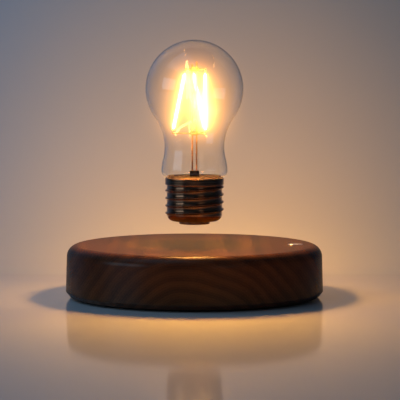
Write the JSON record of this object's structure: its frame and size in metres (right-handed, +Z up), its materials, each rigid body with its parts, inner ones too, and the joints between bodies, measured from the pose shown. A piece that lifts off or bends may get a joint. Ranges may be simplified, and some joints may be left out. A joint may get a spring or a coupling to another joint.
{
  "type": "levitating bulb lamp",
  "caption": "Clear filament bulb that floats and turns above a round wooden base with a touch pad and a rear power socket.",
  "frame": {"origin": "centre of the base on the table, under the feet", "axes": "+Z up along the lamp's axis, +Y towards the power socket, +X towards the touch pad"},
  "size_m": [0.158, 0.158, 0.158],
  "materials": {
    "walnut": "satin",
    "touch_metal": "satin",
    "circuit_board": "satin",
    "grey_sleeve": "satin",
    "black_plastic": "matte",
    "cap_plastic": "gloss",
    "screw_steel": "satin",
    "brass": "satin",
    "foot_rubber": "matte",
    "black_sleeve": "satin",
    "white_plastic": "satin",
    "grey_plastic": "satin",
    "ferrite": "matte",
    "copper_wire": "gloss",
    "red_sleeve": "satin",
    "chip_black": "satin",
    "can_aluminium": "satin",
    "nickel": "gloss",
    "clear_glass": "gloss",
    "black_nickel": "gloss",
    "cement": "matte",
    "copper_rod": "satin",
    "bead_glass": "gloss",
    "filament": "satin"
  },
  "bodies": {
    "base": {"wood_housing": "walnut", "touch_pad": "touch_metal", "bottom_cover": "black_plastic", "cover_screws": "screw_steel", "rubber_feet": "foot_rubber", "power_socket": "black_plastic", "socket_pin": "nickel", "touch_board": "circuit_board", "touch_wires": "grey_sleeve", "threaded_inserts": "brass", "lower_standoffs": "brass", "upper_pillars": "white_plastic", "plate_screws": "screw_steel", "control_board": "circuit_board", "magnet_frame": "grey_plastic", "ring_magnet": "ferrite", "coil_plate": "white_plastic", "transmitter_coil": "copper_wire", "transmitter_leads": "red_sleeve", "coil_bobbins": "black_plastic", "coil_cores": "ferrite", "winding_right": "copper_wire", "winding_rear": "copper_wire", "winding_left": "copper_wire", "winding_front": "copper_wire", "sensor_post": "white_plastic", "sensor_board": "circuit_board", "hall_sensors": "chip_black", "microcontroller": "chip_black", "driver_chips": "chip_black", "capacitors": "can_aluminium", "inductor": "ferrite", "socket_nut": "nickel", "socket_lugs": "brass", "lead_red": "red_sleeve", "lead_black": "black_sleeve"},
    "float_magnet": {"levitation_magnet": "nickel"},
    "bulb": {"glass_globe": "clear_glass", "screw_shell": "black_nickel", "shell_thread": "black_nickel", "shell_insulator": "cap_plastic", "contact_button": "black_nickel", "cement_ring": "cement", "stem_plate": "cap_plastic", "stem_socket": "cap_plastic", "left_rod": "copper_rod", "right_rod": "copper_rod", "lower_bead": "bead_glass", "lower_spider": "copper_rod", "upper_bead": "bead_glass", "upper_spider": "copper_rod", "filament_left": "filament", "filament_right": "filament", "filament_rear": "filament", "filament_tabs": "nickel", "magnet_carrier": "black_plastic", "receiver_coil": "copper_wire", "receiver_board": "circuit_board", "smoothing_capacitor": "can_aluminium", "rectifier_chip": "chip_black"}
  },
  "joints": [
    {"name": "bulb_lift", "type": "slide", "parent": "base", "child": "float_magnet", "axis": [0, 0, 1], "range_m": [-0.0125, 0.06], "stiffness_N_per_m": 40, "springref_m": 0.02536},
    {"name": "bulb_spin", "type": "hinge", "parent": "float_magnet", "child": "bulb", "pos_m": [0, 0, 0.055], "axis": [0, 0, 1], "continuous": true}
  ]
}
